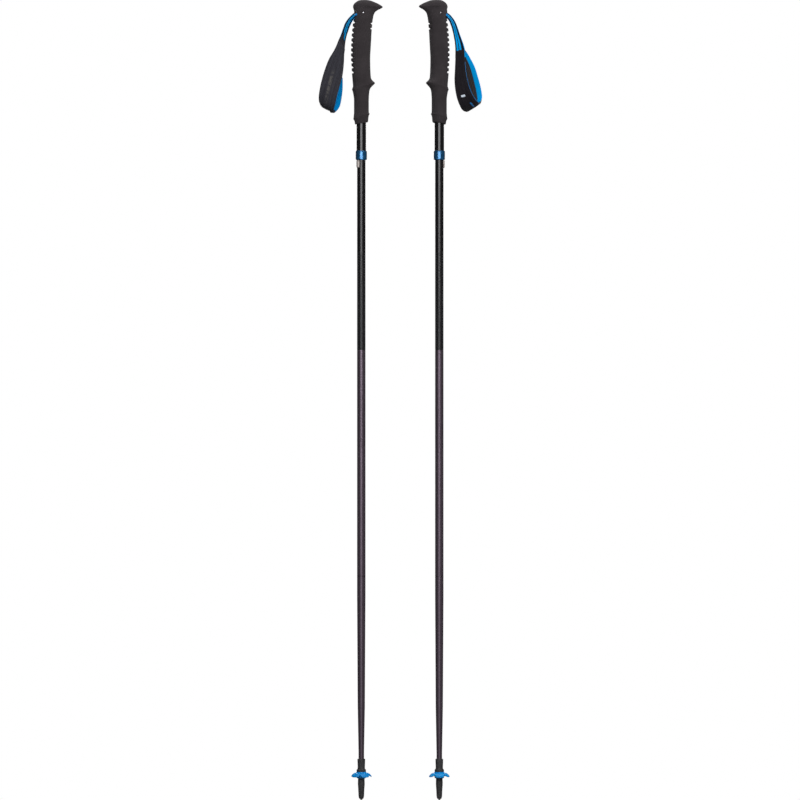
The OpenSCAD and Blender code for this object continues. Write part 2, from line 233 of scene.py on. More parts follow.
def mesh_piece(name, points, faces, matrix, crease=40, attributes=None):
    """A mesh in the row frame from points in millimetres, with its sharp edges kept sharp."""
    points = np.array(points, float).reshape(-1, 3)
    turn = np.array(matrix)
    placed = points @ turn[:3, :3].T + turn[:3, 3]
    mesh = bpy.data.meshes.new(name)
    mesh.from_pydata(placed.tolist(), [], faces)
    for key, values in (attributes or {}).items():
        mesh.attributes.new(key, "FLOAT", "POINT").data.foreach_set("value", np.ravel(values))
    shell = bmesh.new()
    shell.from_mesh(mesh)
    bmesh.ops.recalc_face_normals(shell, faces=shell.faces)
    shell.to_mesh(mesh)
    shell.free()
    mesh.shade_smooth()
    mesh.set_sharp_from_angle(angle=math.radians(crease))
    return added(name, mesh)


def fitted(pole, piece, material, body="strap", stands_for=None):
    """Gives a piece its material and body, and hides the CAD node that it stands for."""
    piece.data.materials.append(material)
    if body:
        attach(piece, pole.name(body))
    if stands_for:
        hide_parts(pole.name(stands_for))


def grid_faces(rows, columns, closed_rows=False):
    """Quads over a grid whose columns close into rings, and whose rows may close too."""
    faces = []
    for i in range(rows if closed_rows else rows - 1):
        for k in range(columns):
            this, following = i * columns, ((i + 1) % rows) * columns
            beside = (k + 1) % columns
            faces.append((this + k, this + beside, following + beside, following + k))
    return faces


def capped(rows, columns):
    """The faces of a tube of rings, with both ends closed."""
    last = (rows - 1) * columns
    ends = [tuple(range(columns - 1, -1, -1)), tuple(last + k for k in range(columns))]
    return grid_faces(rows, columns) + ends


def lathe(name, profile, matrix, steps=96, crease=35):
    """A closed profile of (height, radius) points, turned about the pole's axis."""
    angles = 2 * math.pi * np.arange(steps) / steps
    points = [[r * math.cos(a), r * math.sin(a), h] for h, r in profile for a in angles]
    return mesh_piece(name, points, grid_faces(len(profile), steps, True), matrix, crease)


def tube(name, path, radius, matrix, sides=10):
    """A round tube along a path, with tapered ends."""
    path = np.array(path, float)
    ahead = np.gradient(path, axis=0)
    ahead /= np.linalg.norm(ahead, axis=1)[:, None]
    side = np.cross(ahead[0], [0.3, 0.9, 0.1])
    rings = []
    radii = np.full(len(path), radius)
    radii[0] = radii[-1] = 0.4 * radius
    for point, forward, r in zip(path, ahead, radii):
        side = side - forward * (side @ forward)
        side /= np.linalg.norm(side)
        up = np.cross(forward, side)
        for k in range(sides):
            a = 2 * math.pi * k / sides
            rings.append(point + r * (math.cos(a) * side + math.sin(a) * up))
    return mesh_piece(name, rings, capped(len(path), sides), matrix, crease=60)


class Band:
    """A strip of cloth between two edges, each a list of points from the strip's start."""

    def __init__(self, edge_a, edge_b, outside):
        self.a, self.b = np.array(edge_a), np.array(edge_b)
        middle = (self.a + self.b) / 2
        steps = np.linalg.norm(np.diff(middle, axis=0), axis=1)
        self.along = np.concatenate([[0], np.cumsum(steps)])
        width = self.b - self.a
        self.width = np.linalg.norm(width, axis=1)
        ahead = np.gradient(middle, axis=0)
        normal = np.cross(ahead, width)
        normal /= np.linalg.norm(normal, axis=1)[:, None]
        away = middle - np.array(outside, float)
        self.normal = normal * np.sign(np.sum(normal * away))

    def at(self, share, rise=0.0):
        """The line along the band at a share of its width, raised off its middle surface."""
        share = np.broadcast_to(np.asarray(share, float), (len(self.a),))[:, None]
        rise = np.broadcast_to(np.asarray(rise, float), (len(self.a),))[:, None]
        return self.a * (1 - share) + self.b * share + self.normal * rise

    def part(self, start, end):
        """The rows between two shares of the band's length."""
        length = self.along[-1]
        return (self.along >= start * length) & (self.along <= end * length)

    def cloth(self, name, matrix, thickness, shares=(0, 1), rise=0.0, rows=None, edge=8, shape=None,
              across=28):
        """The band as a closed strip. shape gives its thickness and rise over (share, along)."""
        rows = np.ones(len(self.a), bool) if rows is None else rows
        u = (1 - np.cos(np.pi * np.arange(across + 1) / across)) / 2
        edge_form = np.clip(1 - np.abs(2 * u - 1) ** edge, 0.02, 1) ** 0.5
        points, share_of, across_of, along_of = [], [], [], []
        ends = np.flatnonzero(rows)
        for i in ends:
            near_end = min(i - ends[0], ends[-1] - i)
            taper = 1 if near_end > 0 else 0.6
            share = shares[0] + (shares[1] - shares[0]) * u
            swell, lift = (1, 0) if shape is None else shape(share, self.along[i])
            half = thickness / 2 * edge_form * swell * taper
            base = self.a[i] * (1 - share)[:, None] + self.b[i] * share[:, None]
            base = base + self.normal[i] * (np.asarray(lift + rise) * np.ones_like(share))[:, None]
            top = base + self.normal[i] * half[:, None]
            bottom = base - self.normal[i] * half[:, None]
            points.append(np.concatenate([top, bottom[::-1]]))
            both = np.concatenate([share, share[::-1]])
            share_of.append(both)
            across_of.append(both * self.width[i] * MM)
            along_of.append(np.full(len(both), self.along[i] * MM))
        attributes = {"share": share_of, "across": across_of, "along": along_of}
        faces = capped(len(points), 2 * (across + 1))
        return mesh_piece(name, points, faces, matrix, crease=50, attributes=attributes)


def stitches(name, line, normals, matrix, length=2.0, gap=1.0, radius=0.22):
    """A row of separate stitches along a line on cloth."""
    line = np.array(line, float)
    steps = np.linalg.norm(np.diff(line, axis=0), axis=1)
    distance = np.concatenate([[0], np.cumsum(steps)])
    points, faces = [], []
    sides, rings = 6, 5
    for start in np.arange(gap, distance[-1] - length, length + gap):
        along = start + length * np.arange(rings) / (rings - 1)
        middle = np.stack([np.interp(along, distance, line[:, k]) for k in range(3)], axis=1)
        out = np.stack([np.interp(along, distance, normals[:, k]) for k in range(3)], axis=1)
        ahead = middle[-1] - middle[0]
        ahead /= np.linalg.norm(ahead)
        first = len(points)
        for i in range(rings):
            bow = math.sin(math.pi * (i + 0.5) / rings)
            up = out[i] / np.linalg.norm(out[i])
            beside = np.cross(ahead, up)
            for k in range(sides):
                a = 2 * math.pi * k / sides
                ring = radius * (0.55 + 0.45 * bow) * (math.cos(a) * up + math.sin(a) * beside)
                points.append(middle[i] + up * radius * 0.5 * bow + ring)
        faces += [tuple(first + v for v in face) for face in capped(rings, sides)]
    return mesh_piece(name, points, faces, matrix, crease=80)


# ---- Materials ----


class Surface:
    """A material whose colour, roughness and relief are made by nodes."""

    def __init__(self, name, **constants):
        self.material = bpy.data.materials.new(name)
        self.material.use_nodes = True
        self.nodes = self.material.node_tree.nodes
        self.links = self.material.node_tree.links
        self.shader = self.nodes["Principled BSDF"]
        for socket, value in constants.items():
            self.shader.inputs[socket.replace("_", " ")].default_value = value

    def feed(self, socket, value):
        if isinstance(value, bpy.types.NodeSocket):
            self.links.new(value, socket)
        else:
            socket.default_value = value

    def node(self, kind, inputs=None, **settings):
        node = self.nodes.new("ShaderNode" + kind)
        for key, value in settings.items():
            setattr(node, key, value)
        for key, value in (inputs or {}).items():
            self.feed(node.inputs[key], value)
        return node

    def math(self, operation, *values):
        node = self.node("Math", operation=operation)
        for socket, value in zip(node.inputs, values):
            self.feed(socket, value)
        return node.outputs[0]

    def place(self):
        """Position in the row frame, which moves with the piece."""
        return self.node("TexCoord").outputs["Object"]

    def stretched(self, *scale):
        return self.node("Mapping", {"Vector": self.place(), "Scale": scale}).outputs[0]

    def attribute(self, name):
        return self.node("Attribute", attribute_name=name).outputs["Fac"]

    def noise(self, scale, detail=3.0, vector=None):
        vector = vector or self.place()
        return self.node("TexNoise", {"Vector": vector, "Scale": scale, "Detail": detail}).outputs["Fac"]

    def cells(self, scale):
        return self.node("TexVoronoi", {"Vector": self.place(), "Scale": scale}).outputs["Distance"]

    def ranged(self, value, low, high, to_low=0.0, to_high=1.0):
        """value between low and high, spread smoothly over to_low to to_high."""
        inputs = {"Value": value, "From Min": low, "From Max": high, "To Min": to_low, "To Max": to_high}
        return self.node("MapRange", inputs, interpolation_type="SMOOTHSTEP").outputs[0]

    def inside(self, value, low, high, edge):
        """1 where value is between low and high, 0 outside, softened over edge."""
        rise = self.ranged(value, low - edge, low + edge)
        fall = self.ranged(value, high - edge, high + edge, 1.0, 0.0)
        return self.math("MULTIPLY", rise, fall)

    def wave(self, value, period):
        """A wave from 0 to 1 along value, in metres."""
        turns = self.math("MULTIPLY", value, 2 * math.pi / period)
        return self.math("MULTIPLY_ADD", self.math("SINE", turns), 0.5, 0.5)

    def mixed(self, factor, first, second):
        node = self.node("Mix", data_type="RGBA")
        self.feed(node.inputs["Factor"], factor)
        for key, tone in (("A", first), ("B", second)):
            self.feed(node.inputs[key], tone if isinstance(tone, bpy.types.NodeSocket) else (*tone, 1))
        return node.outputs["Result"]

    def colour(self, value):
        self.feed(self.shader.inputs["Base Color"], value)

    def roughness(self, value):
        self.feed(self.shader.inputs["Roughness"], value)

    def relief(self, height, distance, strength=1.0):
        inputs = {"Height": height, "Distance": distance, "Strength": strength}
        self.feed(self.shader.inputs["Normal"], self.node("Bump", inputs).outputs[0])

    def angle(self, pole):
        """Angle about a pole's axis, in degrees, in the row frame's directions."""
        parts = self.node("SeparateXYZ", {"Vector": self.place()}).outputs
        turned = self.math("ARCTAN2", parts[1], self.math("SUBTRACT", parts[0], pole.tip.x))
        return self.math("MULTIPLY", turned, 180 / math.pi)

    def height(self, pole):
        """Height above the tips, in metres."""
        parts = self.node("SeparateXYZ", {"Vector": self.place()}).outputs
        return self.math("SUBTRACT", parts[2], pole.tip.z)


def foam():
    s = Surface("grip_foam", Specular_IOR_Level=0.12, Sheen_Weight=0.05, Sheen_Roughness=0.6)
    grain = s.noise(2600, 4)
    patches = s.noise(45, 3)
    tone = s.math("MULTIPLY_ADD", grain, 0.5, s.math("MULTIPLY", patches, 0.5))
    s.colour(s.mixed(s.ranged(tone, 0.3, 0.7), (0.027, 0.0228, 0.0248), (0.041, 0.0352, 0.0378)))
    s.roughness(s.ranged(grain, 0.2, 0.8, 0.72, 0.92))
    pores = s.ranged(s.cells(1500), 0.0, 0.55)
    s.relief(s.math("ADD", pores, s.math("MULTIPLY", grain, 0.6)), 0.00012, 0.5)
    return s.material


def tube_marks(s, pole, low, high):
    """Columns of short dashes printed round a shaft, 1 on a dash and 0 off it."""
    column_every, dash_every = 45.0, 3.87 * MM
    turned = s.math("DIVIDE", s.angle(pole), column_every)
    off_column = s.math("ABSOLUTE", s.math("SUBTRACT", turned, s.math("ROUND", turned)))
    height = s.height(pole)
    steps = s.math("DIVIDE", height, dash_every)
    off_dash = s.math("ABSOLUTE", s.math("SUBTRACT", steps, s.math("ROUND", steps)))
    on_column = s.ranged(off_column, 0.16, 0.22, 1.0, 0.0)
    on_dash = s.ranged(off_dash, 0.2, 0.28, 1.0, 0.0)
    in_reach = s.inside(height, low * MM, high * MM, 1.5 * MM)
    return s.math("MULTIPLY", s.math("MULTIPLY", on_column, on_dash), in_reach)


# Dark and light tone of each finish, how metallic it is, its dashes' tone and their roughness
TUBE_FINISHES = {
    "black": ((0.0065, 0.006, 0.0068), (0.0105, 0.0098, 0.0108), 0.0, (0.030, 0.033, 0.036), 0.3),
    "plum": ((0.145, 0.110, 0.142), (0.172, 0.133, 0.168), 0.72, (0.085, 0.066, 0.084), 0.12),
}


def tube_finish(pole, part, finish, low, high, marks=None, duller_low_down=0.0):
    """A drawn tube, with roughness from low to high and dashes printed between two heights."""
    dark, light, metallic, dash, dash_roughness = TUBE_FINISHES[finish]
    s = Surface(pole.name(f"{part}_{finish}"), Specular_IOR_Level=0.5, Metallic=metallic)
    drawn = s.noise(60, 3, s.stretched(22, 22, 0.6))
    fine = s.noise(300, 2, s.stretched(3, 3, 0.25))
    base = s.mixed(drawn, dark, light)
    rough = s.ranged(fine, 0.3, 0.7, low, high)
    if duller_low_down:
        rough = s.math("ADD", rough, s.ranged(s.height(pole), 0.70, 0.86, duller_low_down, 0.0))
    if marks:
        dashes = tube_marks(s, pole, *marks)
        base = s.mixed(dashes, base, dash)
        rough = s.math("MULTIPLY_ADD", dashes, dash_roughness, rough)
    s.colour(base)
    s.roughness(rough)
    return s.material


def blue_anodised(pole):
    s = Surface(pole.name("collar_blue"), Metallic=0.8, Specular_IOR_Level=0.6,
                Coat_Weight=1.0, Coat_Roughness=0.22)
    s.colour(s.mixed(s.ranged(s.noise(300, 3), 0.3, 0.7), (0.024, 0.175, 0.40), (0.028, 0.195, 0.44)))
    s.roughness(s.ranged(s.noise(300, 2), 0.3, 0.7, 0.3, 0.36))
    return s.material


def metal(name, dark, light, low, high, share=1.0):
    """Fine-grained metal; share is how bare it is."""
    s = Surface(name, Metallic=share)
    fine = s.noise(1500, 3)
    s.colour(s.mixed(fine, dark, light))
    s.roughness(s.ranged(fine, 0.25, 0.75, low, high))
    s.relief(fine, 0.00002, 0.3)
    return s.material


def plastic(name, dark, light, low, high):
    """Moulded plastic with a fine spark-eroded grain."""
    s = Surface(name, Specular_IOR_Level=0.4)
    fine = s.noise(2200, 3)
    broad = s.noise(70, 2)
    s.colour(s.mixed(s.ranged(s.math("ADD", fine, broad), 0.7, 1.3), dark, light))
    s.roughness(s.ranged(fine, 0.3, 0.7, low, high))
    s.relief(fine, 0.00001, 0.4)
    return s.material


def webbing(pole):
    """Flat woven strap: blue with dark stripes along it."""
    s = Surface(pole.name("webbing"), Specular_IOR_Level=0.06)
    share, across, along = s.attribute("share"), s.attribute("across"), s.attribute("along")
    ribs = s.wave(along, 0.9 * MM)
    threads = s.wave(across, 0.7 * MM)
    weave = s.math("MULTIPLY", ribs, threads)
    blue = s.mixed(weave, (0.0, 0.25, 0.60), (0.0, 0.39, 0.88))
    dark = s.mixed(weave, (0.004, 0.004, 0.007), (0.014, 0.013, 0.02))
    stripes = [(0.09, 0.37), (0.575, 0.665), (0.87, 1.1)]
    for low, high in stripes:
        blue = s.mixed(s.inside(share, low, high, 0.012), blue, dark)
    if pole.side == "left":
        reach = s.ranged(along, 32 * MM, 58 * MM, 0.0, 0.62)
        off_middle = s.math("ABSOLUTE", s.math("SUBTRACT", share, 0.42))
        covered = s.ranged(s.math("SUBTRACT", reach, off_middle), -0.03, 0.03)
        blue = s.mixed(covered, blue, (0.030, 0.0285, 0.034))
    s.colour(blue)
    s.roughness(s.ranged(weave, 0.0, 1.0, 0.85, 0.6))
    s.relief(s.math("ADD", weave, s.math("MULTIPLY", s.noise(1800, 2), 0.5)), 0.00022, 0.8)
    return s.material


# Dark and light tone of each pad's shell, and of its yarn where the knit stands proud. The two sides are lit and
# shaded copies of one cloth: the right pad's tones are painted shade and the left's painted light
PAD_LIT_AND_SHADED_TONES = {
    "left": ((0.024, 0.023, 0.029), (0.036, 0.036, 0.045), (0.052, 0.052, 0.063)),
    "right": ((0.007, 0.006, 0.008), (0.012, 0.0105, 0.013), (0.022, 0.019, 0.023)),
}


def pad_cloth(pole):
    """Dark knitted shell of the wrist pad, with a paler band down it."""
    s = Surface(pole.name("pad_cloth"), Specular_IOR_Level=0.1, Sheen_Weight=0.05, Sheen_Roughness=0.5)
    share, across, along = s.attribute("share"), s.attribute("across"), s.attribute("along")
    ribs = s.wave(across, 0.8 * MM)
    courses = s.wave(along, 0.65 * MM)
    knit = s.math("MULTIPLY", ribs, courses)
    drift = {"X": s.math("MULTIPLY", share, 0.55), "Y": s.math("MULTIPLY", along, 0.6)}
    streaks = s.noise(14, 2, s.node("CombineXYZ", drift).outputs[0])
    # The per-side tones carry painted light on the left pad and painted shade on the right
    low, high, yarn = PAD_LIT_AND_SHADED_TONES[pole.side]
    base = s.mixed(s.ranged(streaks, 0.35, 0.65), low, high)
    base = s.mixed(s.math("MULTIPLY", knit, 0.5), base, yarn)
    # A paler band is painted down the front of the left pad
    if pole.side == "left":
        stripe = s.inside(share, 0.38, 0.54, 0.04)
        reach = s.inside(along, 46 * MM, 92 * MM, 10 * MM)
        pale_band = s.math("MULTIPLY", s.ranged(s.noise(260, 3), 0.35, 0.6), 0.75)
        pale_band = s.math("MULTIPLY", pale_band, s.math("MULTIPLY", stripe, reach))
        base = s.mixed(pale_band, base, (0.098, 0.092, 0.086))
    s.colour(base)
    s.roughness(s.ranged(knit, 0.0, 1.0, 0.95, 0.78))
    s.relief(s.math("ADD", knit, s.math("MULTIPLY", s.noise(1500, 3), 0.7)), 0.0002, 0.8)
    return s.material


def lining_cloth(pole):
    """Brushed lining with fine stitched rows down it."""
    s = Surface(pole.name("lining_cloth"), Specular_IOR_Level=0.1, Sheen_Weight=0.08, Sheen_Roughness=0.6)
    across, along = s.attribute("across"), s.attribute("along")
    rows = s.wave(across, 2.6 * MM)
    nap = s.noise(1200, 4)
    fleck = s.inside(s.wave(along, 1.6 * MM), 0.62, 1.1, 0.08)
    base = s.mixed(rows, (0.017, 0.0155, 0.0165), (0.040, 0.036, 0.036))
    base = s.mixed(s.math("MULTIPLY", fleck, s.ranged(rows, 0.8, 0.98)), base, (0.085, 0.062, 0.045))
    s.colour(s.mixed(s.ranged(nap, 0.3, 0.7, 0.0, 0.5), base, (0.030, 0.027, 0.028)))
    s.roughness(s.ranged(nap, 0.2, 0.8, 0.8, 0.97))
    s.relief(s.math("ADD", rows, nap), 0.00025, 0.8)
    return s.material


# Dark and light tone of each pad's edging. The two sides are lit and shaded copies of one blue cloth: the right
# edging is painted lighter as painted light, the left darker as painted shade inside the hand loop
EDGING_LIT_AND_SHADED_TONES = {
    "left": ((0.0, 0.18, 0.49), (0.0, 0.28, 0.69)),
    "right": ((0.0, 0.24, 0.60), (0.0, 0.36, 0.82)),
}


def blue_cloth(pole):
    """Ribbed blue edging."""
    s = Surface(pole.name("edging_cloth"), Specular_IOR_Level=0.06)
    across, along = s.attribute("across"), s.attribute("along")
    ribs = s.wave(across, 1.1 * MM)
    twill = s.wave(s.math("ADD", across, along), 0.7 * MM)
    weave = s.math("MULTIPLY_ADD", twill, 0.4, s.math("MULTIPLY", ribs, 0.6))
    # The per-side tones carry painted light on the right edging and painted shade on the left
    s.colour(s.mixed(weave, *EDGING_LIT_AND_SHADED_TONES[pole.side]))
    s.roughness(s.ranged(weave, 0.0, 1.0, 0.8, 0.6))
    s.relief(weave, 0.0002, 0.8)
    return s.material


def thread(name, dark, light):
    """Sewing thread or braided cord."""
    s = Surface(name, Specular_IOR_Level=0.3, Sheen_Weight=0.2)
    twist = s.noise(2400, 2, s.stretched(1, 1, 0.4))
    s.colour(s.mixed(twist, dark, light))
    s.roughness(s.ranged(twist, 0.3, 0.7, 0.6, 0.85))
    s.relief(twist, 0.00008, 0.8)
    return s.material


def basket_plastic():
    s = Surface("basket_plastic", Specular_IOR_Level=0.42, Subsurface_Weight=0.1, Subsurface_Scale=0.002)
    flow = s.noise(120, 2)
    s.colour(s.mixed(s.ranged(flow, 0.3, 0.7), (0.0, 0.215, 0.58), (0.0, 0.265, 0.65)))
    fine = s.noise(1800, 2)
    s.roughness(s.ranged(fine, 0.3, 0.7, 0.36, 0.46))
    s.relief(fine, 0.000008, 0.3)
    return s.material


# ---- Grip ----

# Depth below the top, reach to the front, reach to the back, half the width
GRIP_SECTIONS = np.array([
    (0, 10, 1.5, 4.5), (0.8, 14, 4.2, 7), (2.1, 17.6, 6.6, 9.2), (3.7, 21.4, 8.8, 10.9),
    (5.2, 25, 10.4, 12), (6.8, 28, 11.5, 12.8), (8.3, 30.5, 12.1, 13.2), (9.6, 32.1, 12.4, 13.4),
    (10.6, 32.3, 12.4, 13.4), (11.4, 31.6, 12.3, 13.5), (12.8, 29.5, 11.9, 13.6),
    (14.2, 26.3, 11.4, 13.5), (15.8, 23.6, 11.1, 13.5), (17.2, 21.8, 10.9, 13.5),
    (21.4, 19, 10.7, 13.2), (28.6, 17.3, 11.3, 12.8),
    (34, 16.6, 12.3, 12.6), (42, 16, 13.3, 12.4), (50, 15.3, 14.1, 12.3), (60, 14.8, 14.9, 12.3),
    (75, 13.9, 15.4, 12.3), (88, 13.3, 15.4, 12.2), (98, 13.4, 14.8, 12.1), (110.4, 13.9, 14, 12),
    (117, 14.6, 13.4, 12), (121, 17, 13.1, 12), (123.4, 19.8, 12.9, 12), (124.7, 20.6, 12.8, 12.1),
    (126, 19.6, 12.7, 12.1), (129, 16.6, 12.5, 12.1), (132, 13.9, 13.2, 12), (134, 12.9, 13.9, 12),
    (136.5, 12.2, 13.1, 11.8), (140.5, 11.7, 12.1, 11.4), (150, 11.2, 10.9, 11), (165, 11.2, 10.9, 11),
    (169.5, 11.4, 10.9, 11.1), (171.6, 12.4, 11.2, 11.4), (174, 11.5, 11.4, 11.4),
    (176.5, 10.9, 11.85, 11.2), (179, 10.6, 10.5, 10.9), (181.2, 10.4, 9.9, 10.6),
    (184.2, 10.1, 9.5, 10.2), (185, 9.5, 8.9, 9.7)])
PALM_NOTCHES = 11
FIRST_PALM_NOTCH = 33.9
NOTCH_PITCH = 7.48
FINGER_NOTCHES = (35.4, 43.0)
STRAP_SLOT = (15.6, 25.4)
STRAP_SLOT_HALF_WIDTH = 8.8


def notch(below, depth, above_mouth, under_mouth):
    """How deep a notch cuts at a distance below its middle: steep under it, slanted above."""
    floor = 0.7
    mouth = np.where(below < 0, above_mouth, under_mouth)
    return depth * smooth((mouth - np.abs(below)) / (mouth - floor))


def notched(pole, x, y, depth):
    """Cuts the palm and finger notches into one ring, flat across the way they face."""
    c, s = math.cos(pole.notch_turn), math.sin(pole.notch_turn)
    forward = x * c + y * s
    below_first = depth - FIRST_PALM_NOTCH
    palm = sum(notch(below_first - k * NOTCH_PITCH, 3.4, 2.6, 1.7) for k in range(PALM_NOTCHES))
    finger = sum(notch(depth - at, 3.0, 1.6, 1.6) for at in FINGER_NOTCHES)
    kept = np.clip(forward, forward.min() + palm, forward.max() - finger)
    return x + (kept - forward) * c, y + (kept - forward) * s


def grip_surface(pole, depth, angle):
    """Points of the grip's skin, in the pole's own frame."""
    front, back, half = (through(depth, GRIP_SECTIONS[:, 0], GRIP_SECTIONS[:, k]) for k in (1, 2, 3))
    c, s = np.cos(angle), np.sin(angle)
    squareness = 2 / 2.3
    x = (front - back) / 2 + (front + back) / 2 * squared(c, squareness)
    y = half * squared(s, squareness)
    in_head = hill(depth - 9, 9)
    y = y * (1 - 0.32 * in_head * smooth((x - 4) / 26))
    # The beak's sides tuck in under the ridge that runs back from its tip
    under_ridge = smooth((depth - 9.5) / 3.5) * (1 - smooth((depth - 14) / 14))
    y = y * (1 - 0.13 * under_ridge * smooth((x + 3) / 14))
    # Creases that join the bumps at the front to those at the back, lower down
    for front_at, back_at, swell, width in ((124.7, 134, 0.55, 2.2), (171.6, 176.5, 0.35, 1.4)):
        bow = (front_at + back_at) / 2 - (back_at - front_at) / 2 * c
        beside = depth - bow
        ridge = swell * hill(beside, width) * np.abs(s) ** 1.5
        y = y + np.sign(s) * ridge * np.where(beside > 0, 0.7, 1)
    y = y + np.sign(s) * 0.3 * hill(depth - 4.6, 1.1) * np.abs(s)
    x, y = notched(pole, x, y, depth[0])
    in_slot = ((depth > STRAP_SLOT[0]) & (depth < STRAP_SLOT[1]) & (np.abs(y) < STRAP_SLOT_HALF_WIDTH)
               & (x < -5))
    x = np.where(in_slot, -4.6, x)
    y = pin_dimple(pole, x, y, depth)
    slant = smooth((depth - 166) / 14)
    return np.stack([x, y, pole.top - depth + 1.9 * slant * x / 10.5], axis=-1)


def pin_dimple(pole, x, y, depth):
    """A shallow cup round each end of the pin that holds the strap."""
    pin = pole.local("strap_pin")
    cup_floor, cup_r, rim = 12.2, 1.75, 0.9
    from_pin = np.hypot(x - pin.x, depth - (pole.top - pin.z))
    limit = cup_floor + 2.5 * np.clip((from_pin - cup_r) / rim, 0, 2)
    return np.sign(y) * np.minimum(np.abs(y), limit)


def grip(pole, material):
    around = 144
    angles = 2 * math.pi * np.arange(around) / around
    depths = np.concatenate([spread(0, 14, 0.4), spread(14.25, 27, 0.25), spread(27.35, 117, 0.35),
                             spread(117.6, 185, 0.6)])
    skin = [grip_surface(pole, np.full(around, d), angles) for d in depths]
    crown = []
    for share in (0.15, 0.4, 0.65, 0.85):
        ring = skin[0].copy()
        middle = ring.mean(axis=0)
        ring = middle + (ring - middle) * share
        ring[:, 2] = pole.top + 0.35 * (1 - share ** 2)
        crown.append(ring)
    tube_r = pole.reach("upper_tube") + 0.02
    tube_top = pole.height("upper_tube")[1]
    bore = []
    for height, r in ((skin[-1][:, 2] + 0.5, tube_r + 0.8), (skin[-1][:, 2] + 1.2, tube_r),
                      (tube_top + 0.05, tube_r)):
        ring = np.stack([r * np.cos(angles), r * np.sin(angles), np.broadcast_to(height, around)], axis=1)
        bore.append(ring)
    rings = crown + skin + bore
    piece = mesh_piece(pole.name("grip_foam"), rings, capped(len(rings), around), pole.own, crease=52)
    fitted(pole, piece, material, "handle", "grip")


def strap_pin(pole, material):
    """The pin across the head that holds the strap, with domed ends."""
    low, high = pole.height("strap_pin")
    r = (high - low) / 2
    half = 12.7
    crown = [(0, 0), (0.06, 0.45 * r), (0.19, 0.75 * r), (0.34, 0.92 * r), (0.6, r)]
    profile = [(h - half, q) for h, q in crown] + [(half - h, q) for h, q in reversed(crown)]
    lengthwise = Matrix.Translation(pole.local("strap_pin")) @ Matrix.Rotation(math.pi / 2, 4, "X")
    angles = 2 * math.pi * np.arange(48) / 48
    profile = [(h, max(q, 0.02)) for h, q in profile]
    rings = [[q * math.cos(a), q * math.sin(a), h] for h, q in profile for a in angles]
    piece = mesh_piece(pole.name("pin_domed"), rings, capped(len(profile), 48), pole.own @ lengthwise, 60)
    fitted(pole, piece, material, "handle", "strap_pin")


# ---- Strap ----

# Outer and inner edge of the webbing, from inside the head down to the wrist pad:
# out, depth below the grip's top, and y, for each edge
WEBBING = {
    "left": [((4.5, 19.6, 7.6), (4.5, 23.2, -7.6)), ((11.0, 19.4, 7.8), (10.2, 26.5, -7.8)),
             ((14.2, 22.0, 7.7), (13.0, 30.0, -7.8)), ((17.2, 24.9, 7.5), (15.4, 34.2, -7.7)),
             ((21.0, 29.4, 6.8), (17.2, 38.6, -7.5)), ((24.2, 34.4, 5.9), (18.9, 43.2, -7.2)),
             ((27.4, 43.0, 4.4), (20.8, 49.8, -6.7)), ((30.6, 52.0, 2.8), (22.6, 56.4, -6.2)),
             ((34.4, 61.0, 1.0), (23.9, 64.0, -5.7)), ((38.0, 69.8, -0.8), (24.7, 72.5, -5.4)),
             ((41.0, 76.0, -2.0), (25.2, 78.0, -5.6)), ((44.0, 84.0, -4.0), (25.7, 86.0, -7.2))],
    "right": [((4.5, 19.6, 7.6), (4.5, 23.2, -7.6)), ((11.4, 18.8, 7.8), (10.6, 26.0, -7.8)),
              ((15.4, 21.2, 7.7), (14.2, 29.6, -7.8)), ((18.6, 24.6, 7.4), (16.6, 33.6, -7.7)),
              ((22.0, 29.2, 6.7), (18.0, 37.8, -7.4)), ((24.7, 34.0, 5.9), (19.3, 42.0, -7.1)),
              ((28.0, 42.8, 4.4), (20.6, 48.6, -6.7)), ((31.0, 52.0, 2.4), (21.9, 55.6, -6.1)),
              ((34.4, 61.0, 0.6), (23.2, 63.5, -5.7)), ((37.4, 70.0, -1.0), (23.9, 72.0, -5.5)),
              ((38.8, 77.0, -2.4), (24.0, 78.0, -5.8)), ((39.2, 86.0, -4.6), (23.8, 87.0, -7.6))],
}
